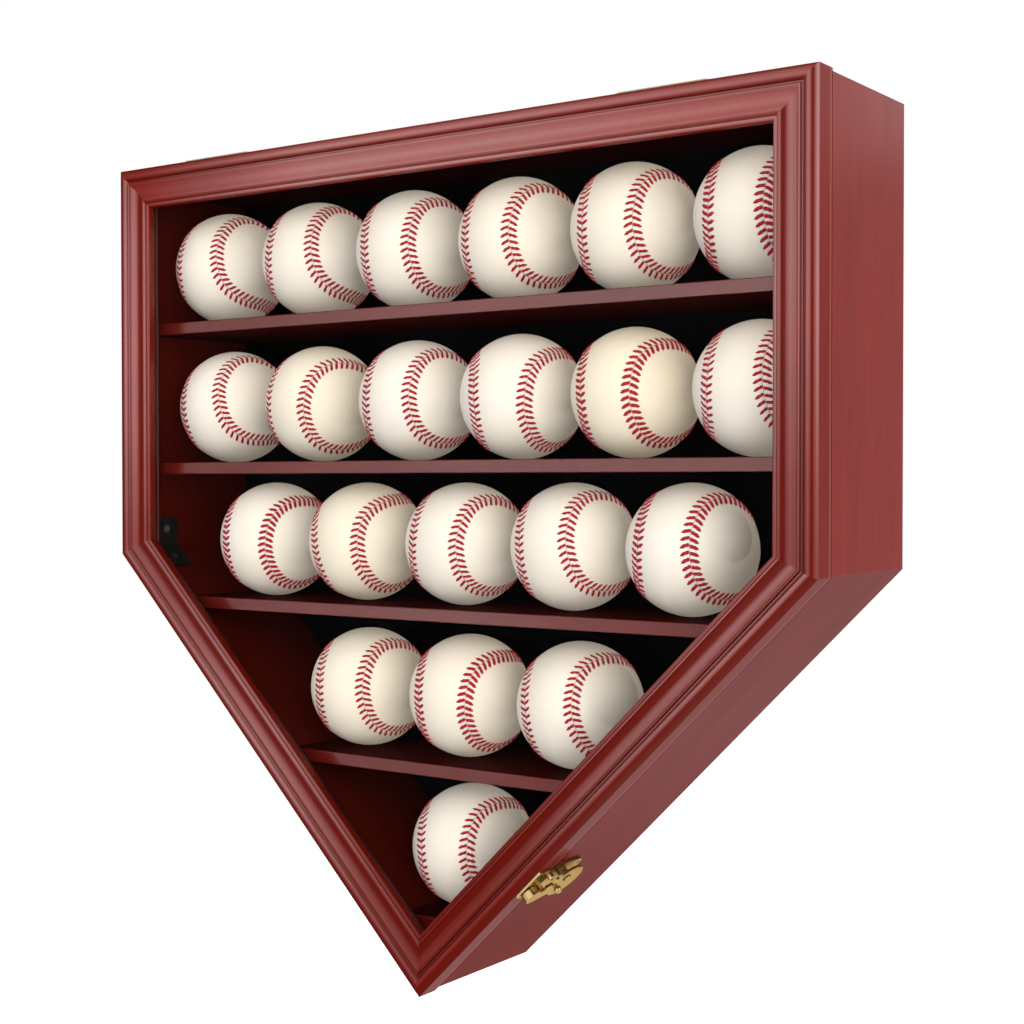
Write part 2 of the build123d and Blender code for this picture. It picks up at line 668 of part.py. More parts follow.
def build():
    """Every piece of the cabinet by name."""
    nodes = {}
    hinges = {side: build_hinge(side) for side in hinge_centres}
    frame = latch_place()
    low_plate = plate_thickness - door_overhang
    screw_alongs = (latch_screw_inset, latch_length - latch_screw_inset)
    door_screw_y = door_plate_front - door_depth + latch_screw_inset
    case_screw_y = plate_seam_gap + case_plate_depth - latch_screw_inset
    door_plate_places = [frame * Pos(x, door_screw_y, plate_thickness) for x in screw_alongs]
    case_plate_places = [frame * Pos(x, case_screw_y, low_plate) for x in screw_alongs]
    door_hinge_cuts = []
    case_hinge_cuts = []
    for side, (leaves, _) in hinges.items():
        door_hinge_cuts.append(hinge_mortise(side, -1))
        case_hinge_cuts.append(hinge_mortise(side, 1))
        door_hinge_cuts += placed(screw_form, hinge_screw, leaves["door"][1])
        case_hinge_cuts += placed(screw_form, hinge_screw, leaves["case"][1])
    brackets = {side: corner_bracket(side) for side in ("left", "right")}
    bracket_places = brackets["left"][1] + brackets["right"][1]
    brad_size = (brad_length, brad_radius, brad_head_radius, brad_head_height)
    brads = placed(brad_form, brad_size, brad_places())
    heights = shelf_heights()
    rooms = [shelf_room(upper) for upper in heights]

    # door frame, pane and the strips behind it
    section = door_section()
    for index, side in enumerate(SIDES):
        member = mitred_bar(section, 0, index, front_y)
        if side == "top":
            member = cut(member, door_hinge_cuts)
        if side == "lower_right":
            member = cut(member, placed(screw_form, latch_screw, door_plate_places))
        if side == "lower_left":
            tip_z = outline(0)[3][1]
            member -= slab(tip_z, tip_z + tip_nip, front_y, seam_y)
        nodes[f"door_{side}_{'rail' if side not in ('left', 'right') else 'stile'}"] = member
    rebate_inset = door_face - rebate_width
    pane_front = front_y + rebate_floor
    nodes["door_pane"] = plate(rebate_inset + pane_play, pane_front, pane_front + pane_thickness)
    strip = rectangle(0, strip_width, 0, strip_depth)
    strip_start = pane_front + pane_thickness
    nodes["pane_strips"] = [mitred_bar(strip, rebate_inset, index, strip_start) for index in range(5)]

    # case boards, back and felt
    section = case_section()
    board_cuts = {
        "top": case_hinge_cuts,
        "right": placed(screw_form, bracket_screw, bracket_places[2:3]),
        "lower_right": placed(screw_form, bracket_screw, bracket_places[3:])
        + placed(screw_form, latch_screw, case_plate_places),
        "lower_left": placed(screw_form, bracket_screw, bracket_places[1:2]),
        "left": placed(screw_form, bracket_screw, bracket_places[:1]),
    }
    for index, side in enumerate(SIDES):
        board = mitred_bar(section, door_overhang, index, seam_y)
        board = cut(board, board_cuts[side] + (rooms if side != "top" else []) + brads)
        nodes[f"case_{side}_board"] = board
    hangers = [hanger_plate(x) for x in (-hanger_spacing / 2, hanger_spacing / 2)]
    hanger_places = hangers[0][1] + hangers[1][1]
    back = plate(inner_inset - rabbet_width + back_play, back_front_y, back_rear_y)
    back = cut(back, placed(screw_form, hanger_screw, hanger_places) + brads)
    for x in (-hanger_spacing / 2, hanger_spacing / 2):
        pocket = keyhole(keyhole_pocket_play, keyhole_pocket_depth)
        back -= Pos(x, back_rear_y - keyhole_pocket_depth, 0) * pocket
    nodes["back_panel"] = back
    nodes["felt_lining"] = plate(inner_inset + felt_play, felt_front_y, back_front_y)
    nodes["back_brads"] = brads
    nodes["hanger_plates"] = [blank for blank, _ in hangers]
    nodes["hanger_screws"] = placed(screw, hanger_screw, hanger_places)

    # shelves and the balls on them
    for row, upper in enumerate(heights):
        nodes[f"shelf_{row + 1}"] = shelf(upper)
        for column, (x, z) in enumerate(ball_row(row, upper)):
            nodes[f"baseball_{row + 1}_{column + 1}"] = Pos(x, ball_y, z) * Sphere(ball_radius)

    # brackets, hinges and latch
    nodes["corner_brackets"] = [bracket for bracket, _ in brackets.values()]
    nodes["bracket_screws"] = placed(screw, bracket_screw, bracket_places)
    for side, (leaves, _) in hinges.items():
        for owner, (leaf, _) in leaves.items():
            nodes[f"hinge_{owner}_leaf_{side}"] = leaf
    nodes["hinge_pins"] = [pin for _, pin in hinges.values()]
    for owner in ("case", "door"):
        places = hinges["left"][0][owner][1] + hinges["right"][0][owner][1]
        nodes[f"hinge_{owner}_screws"] = placed(screw, hinge_screw, places)
    nodes["latch_stud"] = frame * latch_stud()
    door_plate = frame * latch_door_plate()
    nodes["latch_door_plate"] = cut(door_plate, placed(screw_form, latch_screw, door_plate_places))
    nodes["latch_door_screws"] = placed(screw, latch_screw, door_plate_places)
    case_plate = frame * latch_case_plate()
    nodes["latch_case_plate"] = cut(case_plate, placed(screw_form, latch_screw, case_plate_places))
    nodes["latch_case_screws"] = placed(screw, latch_screw, case_plate_places)
    nodes["latch_pivot_rivet"] = frame * latch_pivot_rivet()
    nodes["latch_hook"] = frame * latch_hook()
    nodes["latch_knob"] = frame * latch_knob()
    return nodes


if __name__ == "__main__":
    os.makedirs("parts", exist_ok=True)
    pieces = build()
    for name, piece in pieces.items():
        solid = Compound(children=piece) if isinstance(piece, list) else piece
        export_step(solid, f"parts/{name}.step")
    print(len(pieces), "nodes")
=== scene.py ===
# %% [markdown]
# # A home-plate cabinet of baseballs
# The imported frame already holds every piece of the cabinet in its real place: door, case, shelves,
# hinges and latch, as CAD made them. This lesson dresses that frame. The rigid pieces keep their
# shape and get a finish. The soft ones, which are the felt lining and the twenty-one stitched
# balls, are modelled here and stand where the CAD solids were.

# %% Load the frame
from math import cos, exp, pi, radians, sin, sqrt

import bmesh
import bpy
from mathutils import Matrix, Vector
from mathutils.kdtree import KDTree


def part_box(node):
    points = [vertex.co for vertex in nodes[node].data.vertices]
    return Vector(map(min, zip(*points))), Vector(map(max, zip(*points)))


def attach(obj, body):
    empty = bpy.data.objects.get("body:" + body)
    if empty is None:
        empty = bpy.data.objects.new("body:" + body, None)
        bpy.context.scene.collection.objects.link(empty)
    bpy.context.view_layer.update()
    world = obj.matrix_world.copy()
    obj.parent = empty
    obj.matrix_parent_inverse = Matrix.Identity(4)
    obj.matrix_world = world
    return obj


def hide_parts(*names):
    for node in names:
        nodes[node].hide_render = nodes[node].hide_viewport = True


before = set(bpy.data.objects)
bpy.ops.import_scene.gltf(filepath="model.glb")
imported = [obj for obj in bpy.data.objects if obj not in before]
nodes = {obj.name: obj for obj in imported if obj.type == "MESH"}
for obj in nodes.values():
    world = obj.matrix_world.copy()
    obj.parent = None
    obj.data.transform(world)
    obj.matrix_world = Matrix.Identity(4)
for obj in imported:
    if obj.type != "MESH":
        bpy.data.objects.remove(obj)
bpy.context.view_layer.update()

# %% [markdown]
# ## Camera
# A picture is compared with a photograph only when both are seen from one place, so the camera
# comes first. It stands to the right of the cabinet at about the height of its middle, and looks
# almost level. The lens is in millimetres on a 36 mm sensor. Nothing is shifted or blurred.

# %% Camera
scene = bpy.context.scene
camera_place = (0.604177, -0.863662, -0.158778)
tilt_down, roll, turn_left = 0.018449, 0.000578, 0.619424  # in radians
camera_data = bpy.data.cameras.new("studio_camera")
camera_data.sensor_width = 36
camera_data.lens = 59.030
camera = bpy.data.objects.new("studio_camera", camera_data)
camera.location = camera_place
camera.rotation_euler = (pi / 2 - tilt_down, roll, turn_left)
scene.collection.objects.link(camera)
scene.camera = camera
print("camera", round(camera.location.length, 2), "m from the origin")

# %% [markdown]
# ## Nodes
# The world and every finish are trees of nodes. Three helpers keep the script about them short: one
# feeds the inputs of a node, by name or by number, one adds a node and feeds it, and one does a sum.

# %% Node helpers


def feed(tree, node, inputs):
    """Links each input of this node to its socket, or sets it to its value."""
    for key, value in inputs.items():
        if isinstance(value, bpy.types.NodeSocket):
            tree.links.new(value, node.inputs[key])
        else:
            node.inputs[key].default_value = value


def add(tree, kind, inputs=None, **settings):
    """A new shader node of this kind, fed and set up."""
    made = tree.nodes.new("ShaderNode" + kind)
    for key, value in settings.items():
        setattr(made, key, value)
    feed(tree, made, inputs or {})
    return made


def maths(tree, operation, first, second):
    """One sum of two values or sockets."""
    return add(tree, "Math", {0: first, 1: second}, operation=operation).outputs[0]


print("node helpers ready")

# %% [markdown]
# ## Light, background and floor
# Lacquered wood shows what stands round it, so the room matters as much as the lamps. The world is
# white for the camera and for reflections, and a softer grey for the light that falls on things:
# the Light Path node tells these rays apart. Large area lamps give the soft shading of a photo
# studio. The floor lies well below the cabinet, and keeps the shadow that falls on it.

# %% World
room_strength = 0.45


def seen_directly(tree):
    """1 for rays from the camera, off a gloss or through clear sheet, and 0 for plain light."""
    path = add(tree, "LightPath").outputs
    mirrored = maths(tree, "MAXIMUM", path["Is Camera Ray"], path["Is Glossy Ray"])
    return maths(tree, "MAXIMUM", mirrored, path["Is Transmission Ray"])


scene.view_settings.view_transform = "Standard"
world = bpy.data.worlds.new("studio")
world.use_nodes = True
scene.world = world
tree = world.node_tree
room = tree.nodes["Background"]
feed(tree, room, {"Color": (0.96, 0.98, 1.0, 1), "Strength": room_strength})
white = add(tree, "Background", {"Color": (1, 1, 1, 1)})
seen = add(tree, "MixShader", {0: seen_directly(tree), 1: room.outputs[0], 2: white.outputs[0]})
feed(tree, tree.nodes["World Output"], {"Surface": seen.outputs[0]})
print("world set")

# %% Lamps


def area_lamp(name, place, target, size, power, tint=(1, 1, 1)):
    """A soft lamp of this width and height at place that points at target."""
    data = bpy.data.lights.new(name, "AREA")
    data.shape = "RECTANGLE"
    data.size, data.size_y = size
    data.energy = power
    data.color = tint
    lamp = bpy.data.objects.new(name, data)
    lamp.location = place
    aim = Vector(target) - Vector(place)
    lamp.rotation_euler = aim.to_track_quat("-Z", "Y").to_euler()
    lamp.visible_camera = False
    scene.collection.objects.link(lamp)
    return lamp


middle = (0, -0.05, -0.18)
area_lamp("key_lamp", (-0.75, -1.5, 0.25), (-0.65, 0, 0.1), (3.4, 2.0), 29)
area_lamp("fill_lamp", (2.2, -0.25, 0.35), middle, (1.4, 1.4), 14)
warm_lamp = area_lamp("warm_lamp", (1.5, -1.5, 0.2), middle, (1.2, 1.2), 13, (1.0, 0.90, 0.74))
warm_lamp.visible_glossy = False
area_lamp("back_lamp", (0.4, 1.6, 0.9), middle, (1.2, 1.2), 10)

# warm lamps for the balls alone open the shade between them, as small reflectors would
ball_collection = bpy.data.collections.new("balls")
scene.collection.children.link(ball_collection)
ball_lamps = {"low": ((1.2, -0.7, -1.0), 26), "high": ((0.1, -0.6, 1.4), 23),
              "side": ((1.6, -0.5, -0.2), 22)}
for name, (place, power) in ball_lamps.items():
    ball_lamp = area_lamp(f"ball_lamp_{name}", place, middle, (1.4, 1.4), power, (1.0, 0.92, 0.80))
    ball_lamp.visible_glossy = False
    ball_lamp.data.use_shadow = False
    ball_lamp.light_linking.receiver_collection = ball_collection

# %% [markdown]
# A shape is made as a bmesh, where operators work on it, and then becomes a mesh with an object that
# shows it. Two helpers do this for the card, the floor, the felt and the balls.

# %% Mesh helpers


def mesh_from(bm, name, smooth=False):
    """The shape of this bmesh as a mesh, with smooth shading if it is asked for."""
    mesh = bpy.data.meshes.new(name)
    bm.to_mesh(mesh)
    bm.free()
    if smooth:
        mesh.polygons.foreach_set("use_smooth", [True] * len(mesh.polygons))
    return mesh


def show(mesh, collection=scene.collection):
    """An object with this mesh and its name, linked to the scene."""
    shown = bpy.data.objects.new(mesh.name, mesh)
    collection.objects.link(shown)
    return shown


print("mesh helpers ready")

# %% [markdown]
# Lacquer is only as deep as the dark things that it mirrors. A photographer stands black cards round
# a glossy piece for this, and so does this scene: one hangs overhead. Only reflections see it. It
# casts no shadow and takes no light away.

# %% Dark card
card_reach = 2.6  # from the middle to either side, and to the front
card_back = 0.6
card_height = 1.5
card_finish = bpy.data.materials.new("black_card")
card_finish.use_nodes = True
tree = card_finish.node_tree
feed(tree, tree.nodes["Principled BSDF"], {
    "Base Color": (0.01, 0.01, 0.01, 1), "Roughness": 1.0, "Specular IOR Level": 0.0,
})
bm = bmesh.new()
bmesh.ops.create_grid(bm, x_segments=1, y_segments=1, size=1)
bmesh.ops.scale(bm, verts=bm.verts, vec=(card_reach, (card_reach + card_back) / 2, 1))
bmesh.ops.translate(bm, verts=bm.verts, vec=(0, (card_back - card_reach) / 2, card_height))
card = show(mesh_from(bm, "card_overhead"))
card.data.materials.append(card_finish)
for kind in ("camera", "diffuse", "transmission", "volume_scatter", "shadow"):
    setattr(card, "visible_" + kind, False)
print("dark card at", card_height, "m")

# %% Floor
floor_drop = 0.80
floor_half = 9
floor_glow = 0.80
bm = bmesh.new()
bmesh.ops.create_grid(bm, x_segments=1, y_segments=1, size=floor_half)
bmesh.ops.translate(bm, verts=bm.verts, vec=(0, 0, -floor_drop))
floor = show(mesh_from(bm, "floor"))
floor_finish = bpy.data.materials.new("pale_floor")
floor_finish.use_nodes = True
tree = floor_finish.node_tree
feed(tree, tree.nodes["Principled BSDF"], {
    "Base Color": (0.82, 0.82, 0.82, 1), "Roughness": 0.8, "Specular IOR Level": 0.0,
    "Emission Color": (1, 1, 1, 1),
    "Emission Strength": maths(tree, "MULTIPLY", seen_directly(tree), floor_glow),
})
floor.data.materials.append(floor_finish)
print("floor at", -floor_drop, "m")

# %% [markdown]
# ## Tools for materials
# An effect that more than one finish uses is built once as a shader node group, with named inputs
# and outputs, and is then placed in each material with its own values. The first helper makes such
# a group with its sockets. The others are the few kinds of node that the patterns are made of.

# %% Pattern helpers


def new_group(name, inputs, outputs):
    """An empty shader group with its sockets, and its two end nodes."""
    group = bpy.data.node_groups.new(name, "ShaderNodeTree")
    for label, kind, value in inputs:
        socket = group.interface.new_socket(name=label, in_out="INPUT", socket_type="NodeSocket" + kind)
        if value is not None:
            socket.default_value = value
    for label, kind in outputs:
        group.interface.new_socket(name=label, in_out="OUTPUT", socket_type="NodeSocket" + kind)
    return group, group.nodes.new("NodeGroupInput"), group.nodes.new("NodeGroupOutput")


def blend_colours(tree, factor, first, second, mode="MIX"):
    """A mix of two colours, each a socket or a value."""
    return add(tree, "Mix", {0: factor, 6: first, 7: second},
               data_type="RGBA", blend_type=mode).outputs[2]


def stretch(tree, value, low, high, to_low=0.0, to_high=1.0):
    """The value, spread from the range low to high onto a new range, and held inside it."""
    return add(tree, "MapRange", {"Value": value, "From Min": low, "From Max": high,
                                  "To Min": to_low, "To Max": to_high}).outputs[0]


def noise(tree, vector, scale, detail=3.0, rough=0.55, distortion=0.0):
    """The value of a noise pattern on this vector."""
    return add(tree, "TexNoise", {"Vector": vector, "Scale": scale, "Detail": detail,
                                  "Roughness": rough, "Distortion": distortion}).outputs[0]


def squeeze(tree, vector, amounts):
    """The vector, multiplied axis by axis, so that a pattern on it becomes long or fine."""
    return add(tree, "VectorMath", {0: vector, 1: amounts}, operation="MULTIPLY").outputs[0]


print("pattern helpers ready")

# %% [markdown]
# ### Grain
# Stained cherry shows four things at once: broad drifts of tone, slow streaks a few millimetres wide
# that run the whole board, fine fibres along them, and short dark pores. All four are one noise,
# squeezed by different amounts across the board. The group expects the board's length along X.

# %% Grain group
grain, start, end = new_group("board_grain", [
    ("Vector", "Vector", None), ("Light", "Color", (0.3, 0.05, 0.04, 1)),
    ("Dark", "Color", (0.1, 0.01, 0.01, 1)), ("Streaks", "Float", 0.6), ("Pores", "Float", 0.5),
], [("Color", "Color"), ("Height", "Float"), ("Shine", "Float")])
along = start.outputs["Vector"]
slow = noise(grain, squeeze(grain, along, (8, 70, 70)), 1.0, 4, 0.6, 0.5)
fibre = noise(grain, squeeze(grain, along, (16, 620, 620)), 1.0, 3, 0.6)
pores = noise(grain, squeeze(grain, along, (60, 2400, 2400)), 1.0, 1)
wander = noise(grain, squeeze(grain, along, (9, 34, 34)), 1.0, 3, 0.6, 0.8)
tone = maths(grain, "ADD", maths(grain, "MULTIPLY", slow, 0.7), maths(grain, "MULTIPLY", fibre, 0.3))
tone = maths(grain, "MULTIPLY", stretch(grain, tone, 0.36, 0.64), start.outputs["Streaks"])
tone = maths(grain, "ADD", tone, maths(grain, "MULTIPLY", stretch(grain, wander, 0.3, 0.7), 0.35))
stained = blend_colours(grain, tone, start.outputs["Light"], start.outputs["Dark"])
pore_mask = maths(grain, "MULTIPLY", stretch(grain, pores, 0.64, 0.74), start.outputs["Pores"])
darker = blend_colours(grain, 1.0, stained, (0.35, 0.3, 0.3, 1), "MULTIPLY")
feed(grain, end, {
    "Color": blend_colours(grain, pore_mask, stained, darker),
    "Height": maths(grain, "SUBTRACT", maths(grain, "MULTIPLY", fibre, 0.4), pore_mask),
    "Shine": stretch(grain, slow, 0.3, 0.7, -0.03, 0.05),
})
print("grain group:", len(grain.nodes), "nodes")

# %% [markdown]
# ### Handling
# No finish is equally glossy all over. Fingers leave soft dull patches, and dust leaves fine specks.
# This group varies any roughness by them, and hands on the height of the patches, which also tints.

# %% Handling group
handling, start, end = new_group("handling", [
    ("Vector", "Vector", None), ("Roughness", "Float", 0.3), ("Amount", "Float", 0.08),
], [("Roughness", "Float"), ("Height", "Float")])
patches = noise(handling, start.outputs["Vector"], 14.0, 4, 0.6, 0.6)
specks = noise(handling, start.outputs["Vector"], 420.0, 2)
spread = maths(handling, "ADD", stretch(handling, patches, 0.35, 0.7, -0.5, 1.0),
               stretch(handling, specks, 0.4, 0.8, 0.0, 0.4))
spread = maths(handling, "MULTIPLY", spread, start.outputs["Amount"])
feed(handling, end, {
    "Roughness": maths(handling, "ADD", start.outputs["Roughness"], spread), "Height": patches,
})
print("handling group:", len(handling.nodes), "nodes")

# %% [markdown]
# Every finish begins with the same few steps, and they have helpers too: one makes a material, one
# places a group in it, one adds a bump, and one puts the finish on its CAD pieces.

# %% Material helpers


def new_material(name):
    """A material with its shader node and the place on the object as a vector."""
    material = bpy.data.materials.new(name)
    material.use_nodes = True
    tree = material.node_tree
    shader = tree.nodes["Principled BSDF"]
    place = add(tree, "TexCoord").outputs["Object"]
    return material, tree, shader, place


def use_group(tree, group, inputs):
    """The group as a node of this material."""
    return add(tree, "Group", inputs, node_tree=group)


def bump(tree, shader, height, strength, distance):
    """Lets a height pattern tilt the light on the surface, without moving it."""
    tilted = add(tree, "Bump", {"Height": height, "Strength": strength, "Distance": distance})
    feed(tree, shader, {"Normal": tilted.outputs[0]})


def dress(names, material):
    """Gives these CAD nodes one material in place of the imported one."""
    for name in names:
        mesh = nodes[name].data
        mesh.materials.clear()
        mesh.materials.append(material)
        mesh.polygons.foreach_set("material_index", [0] * len(mesh.polygons))


print("material helpers ready")

# %% [markdown]
# ## The cherry boards
# Each board of the case and each member of the door was cut along its own grain, so the pattern
# turns with it: level in the top ones, upright in the sides, and at 45 degrees in the two lower
# ones. A Mapping node turns the place about the depth axis, and shifts it, so that no two boards
# carry the same figure. The stain is a deep red under satin lacquer.

# %% Cherry finish
board_turns = {"top": 0, "left": 90, "right": 90, "lower_right": 45, "lower_left": -45}
cherry_light = (0.255, 0.0140, 0.0075, 1)
cherry_dark = (0.165, 0.0075, 0.0042, 1)
door_light = (0.205, 0.0115, 0.0060, 1)
door_dark = (0.135, 0.0065, 0.0038, 1)
shelf_light = (0.110, 0.0070, 0.0040, 1)
shelf_dark = (0.075, 0.0045, 0.0028, 1)
# painted shade inside the case boards, where light hardly reaches
painted_inner_shade = (0.052, 0.0038, 0.0014, 1)
# painted shade in the hollows of the moulding, where the coat is thin
painted_hollow_shade = (0.088, 0.0048, 0.0022, 1)
# a painted pale pink sheen on the steep sides of the moulding
painted_sheen_pink = (0.31, 0.125, 0.115, 1)
joint_dark = (0.030, 0.0020, 0.0012, 1)
# a painted highlight on the rounded back edge of the door and on the corner under each upright side
painted_edge_highlight = (0.46, 0.17, 0.14, 1)
inner_shade = (0.014, 0.0012, 0.0007, 1)


def cherry(name, turn, shift, light, dark, roughness):
    """Stained wood whose grain runs at this angle above level, with its shader and its place."""
    material, tree, shader, place = new_material(name)
    turned = add(tree, "Mapping", {"Vector": place, "Rotation": (0, radians(turn), 0),
                                   "Location": (shift, shift * 0.37, shift * 0.71)}).outputs[0]
    wood = use_group(tree, grain, {"Vector": turned, "Light": light, "Dark": dark, "Streaks": 0.5})
    touch = use_group(tree, handling, {"Vector": turned, "Roughness": roughness, "Amount": 0.05})
    rough = maths(tree, "ADD", touch.outputs["Roughness"], wood.outputs["Shine"])
    feed(tree, shader, {
        "Base Color": wood.outputs["Color"], "Roughness": rough, "Specular IOR Level": 0.0,
        "Coat Roughness": 0.22, "Coat IOR": 1.65,
    })
    bump(tree, shader, wood.outputs["Height"], 0.12, 0.0002)
    return material, tree, shader, place


def repaint(tree, shader, mask, colour):
    """Lays this colour over the stain where the mask is 1."""
    stained = shader.inputs["Base Color"].links[0].from_socket
    feed(tree, shader, {"Base Color": blend_colours(tree, mask, stained, colour)})


print("cherry finish ready")

# %% [markdown]
# ### Places on the outline
# Many finishes depend on where a point lies on its member. The outline of the door has five corners,
# read here from the boxes of its pieces, and each member runs from one corner to the next. One
# measure tells how far a point lies inward from the member's outer edge, the other how far along.

# %% Measures of a member
members = ("top", "right", "lower_right", "lower_left", "left")
stile_low, stile_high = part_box("door_right_stile")
half_door, door_top, door_front, door_shoulder = stile_high.x, stile_high.z, stile_low.y, stile_low.z
case_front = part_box("case_top_board")[0].y
door_corners = [Vector(corner) for corner in (
    (-half_door, door_top), (half_door, door_top), (half_door, door_shoulder),
    (0, door_shoulder - half_door), (-half_door, door_shoulder),
)]


def measure(tree, place, start, step):
    """How many steps a point lies from the start, both given in the plane of the door."""
    reach = add(tree, "VectorMath", {0: place, 1: (step.x, 0, step.y)}, operation="DOT_PRODUCT")
    return maths(tree, "SUBTRACT", reach.outputs["Value"], start.dot(step))


def member_line(side):
    """The corner where the member on this side starts, and its run to the next corner."""
    number = members.index(side)
    start = door_corners[number]
    return start, door_corners[(number + 1) % len(members)] - start


def distance_in(tree, place, side):
    """How far a point lies inward from the outer edge of the door on this side, in metres."""
    start, run = member_line(side)
    return measure(tree, place, start, Vector((run.y, -run.x)).normalized())


def share_along(tree, place, side):
    """How far a point lies along the member on this side, from 0 at its start to 1 at its end."""
    start, run = member_line(side)
    return measure(tree, place, start, run / run.length_squared)


print("door", round(2 * half_door, 3), "m wide,", round(door_top - door_corners[3].y, 3), "m high")

# %% [markdown]
# ### The case
# Outside, the boards keep a little of the lacquer, less of it towards the tip. Inside they are painted
# dark and are dull, as shade where the light hardly reaches them. The two lower boards are painted in the
# door's darker stain, as shade on the sides that face down. A thin dark line marks the joint with the door,
# and a painted highlight runs along the corner under each upright side.

# %% Case boards
inner_face = (0.0120, 0.0127)  # inward from the outer edge, where the inside of a board begins
case_joint = (case_front + 0.0004, case_front + 0.0008)
thinning = (door_shoulder - 0.22, door_shoulder - 0.08)  # where the lower boards lose their lacquer
shoulder_highlight = (door_shoulder + 0.0002, door_shoulder + 0.0006)
for number, (side, turn) in enumerate(board_turns.items()):
    # the two lower boards take the darker door stain: painted shade on the sides that face down
    light, dark = (door_light, door_dark) if side.startswith("lower") else (cherry_light, cherry_dark)
    case_wood, tree, shader, place = cherry(f"cherry_case_{side}", turn, 7.7 + number, light, dark, 0.40)
    inside = stretch(tree, distance_in(tree, place, side), *inner_face)
    spot = add(tree, "SeparateXYZ", {"Vector": place}).outputs
    low_coat, high_coat = (0.09, 0.17) if side.startswith("lower") else (0.28, 0.28)
    outer_coat = stretch(tree, spot["Z"], *thinning, low_coat, high_coat)
    coat = blend_colours(tree, inside, outer_coat, (0.05, 0.05, 0.05, 1))
    joint = stretch(tree, spot["Y"], *case_joint, 1.0, 0.0)
    feed(tree, shader, {"Coat Weight": blend_colours(tree, joint, coat, (0, 0, 0, 1))})
    # painted shade inside the boards, darkest under the top board
    shade, cover = (inner_shade, 0.96) if side == "top" else (painted_inner_shade, 0.85)
    repaint(tree, shader, maths(tree, "MULTIPLY", inside, cover), shade)
    # a painted highlight along the corner under each upright side
    if side in ("left", "right"):
        repaint(tree, shader, stretch(tree, spot["Z"], *shoulder_highlight, 0.6, 0.0), painted_edge_highlight)
    repaint(tree, shader, maths(tree, "MULTIPLY", joint, 0.9), joint_dark)
    dress([f"case_{side}_board"], case_wood)
print("case boards dressed:", len(board_turns))

# %% [markdown]
# ## The glaze on the moulding
# A stained moulding is wiped while the finish is wet. The finish stays thick on the beads and on the
# open side of the cove, where it shines, and is wiped thin in the hollows. So the coat
# follows the moulding's profile: each member measures how far a point lies inward from its outer
# edge, and a ramp turns that distance into the weight of the coat and of a pale pink painted sheen
# on the steep sides. A second ramp runs along the member, because the cloth doesn't rub it evenly.
# Where the coat is thin the stain is painted darker, as shade in the hollows. The flat outer sides of the
# door have a thin even coat, with a painted highlight line along the rounded edge beside the dark joint with
# the case.

# %% Glaze across the moulding
moulding_width = 25.5
stain_strength = {"top": 1.25, "right": 1.05, "lower_right": 1.0, "lower_left": 1.0, "left": 1.2}
